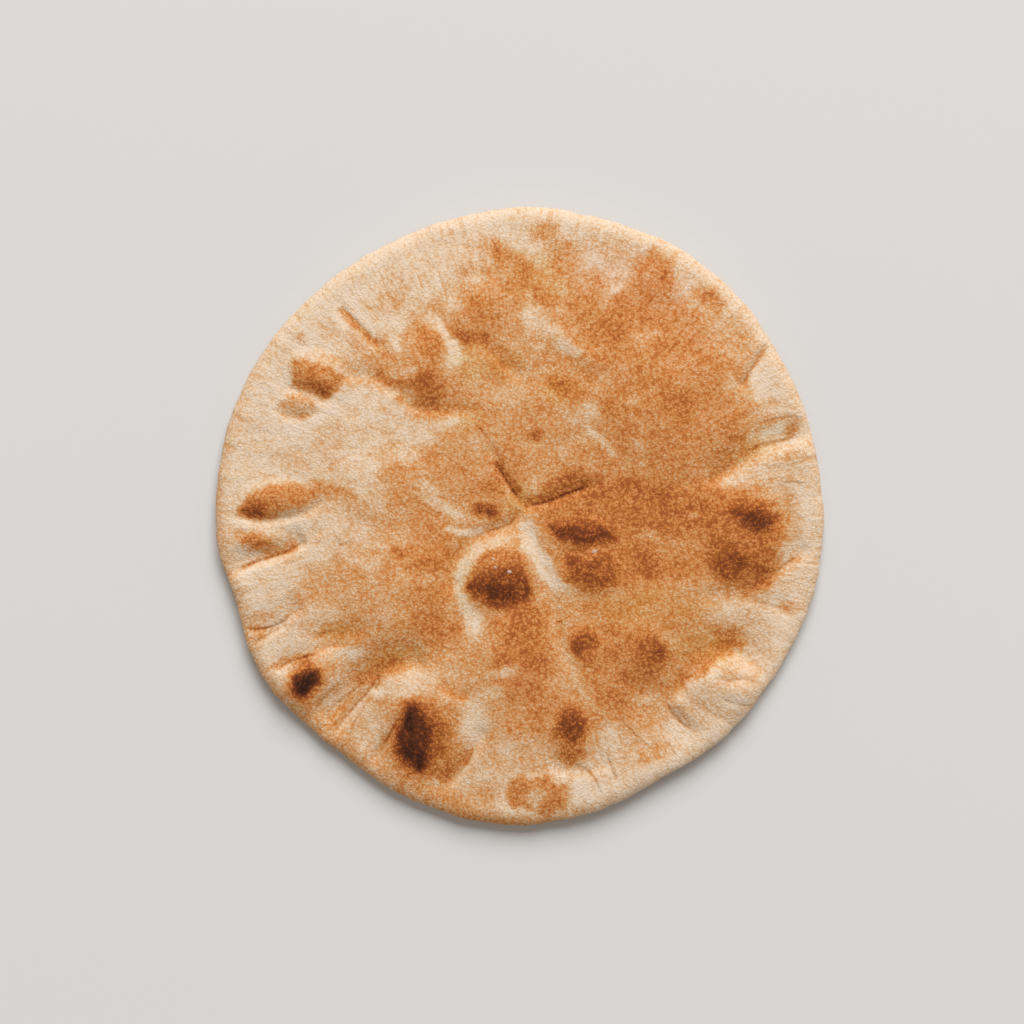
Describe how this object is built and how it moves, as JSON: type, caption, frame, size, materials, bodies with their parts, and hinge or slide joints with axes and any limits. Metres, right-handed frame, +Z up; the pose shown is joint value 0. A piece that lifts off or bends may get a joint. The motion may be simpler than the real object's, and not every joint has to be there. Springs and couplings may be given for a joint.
{
  "type": "pita bread",
  "caption": "Round flat pita bread with a soft rounded rim, toasted blisters, charred spots and shallow folds, to eat whole, tear or fill.",
  "frame": {"origin": "centre of the bread's bounding box, on its flat underside", "axes": "+Z up out of the blistered upper face, +X to the right and +Y away from a person who looks down on it, as the picture shows it"},
  "size_m": [0.17, 0.173, 0.011],
  "materials": {
    "baked_crust": "matt baked crust, cream to toasted brown with charred spots"
  },
  "bodies": {
    "root": {"pita_bread": "baked_crust"}
  },
  "joints": []
}
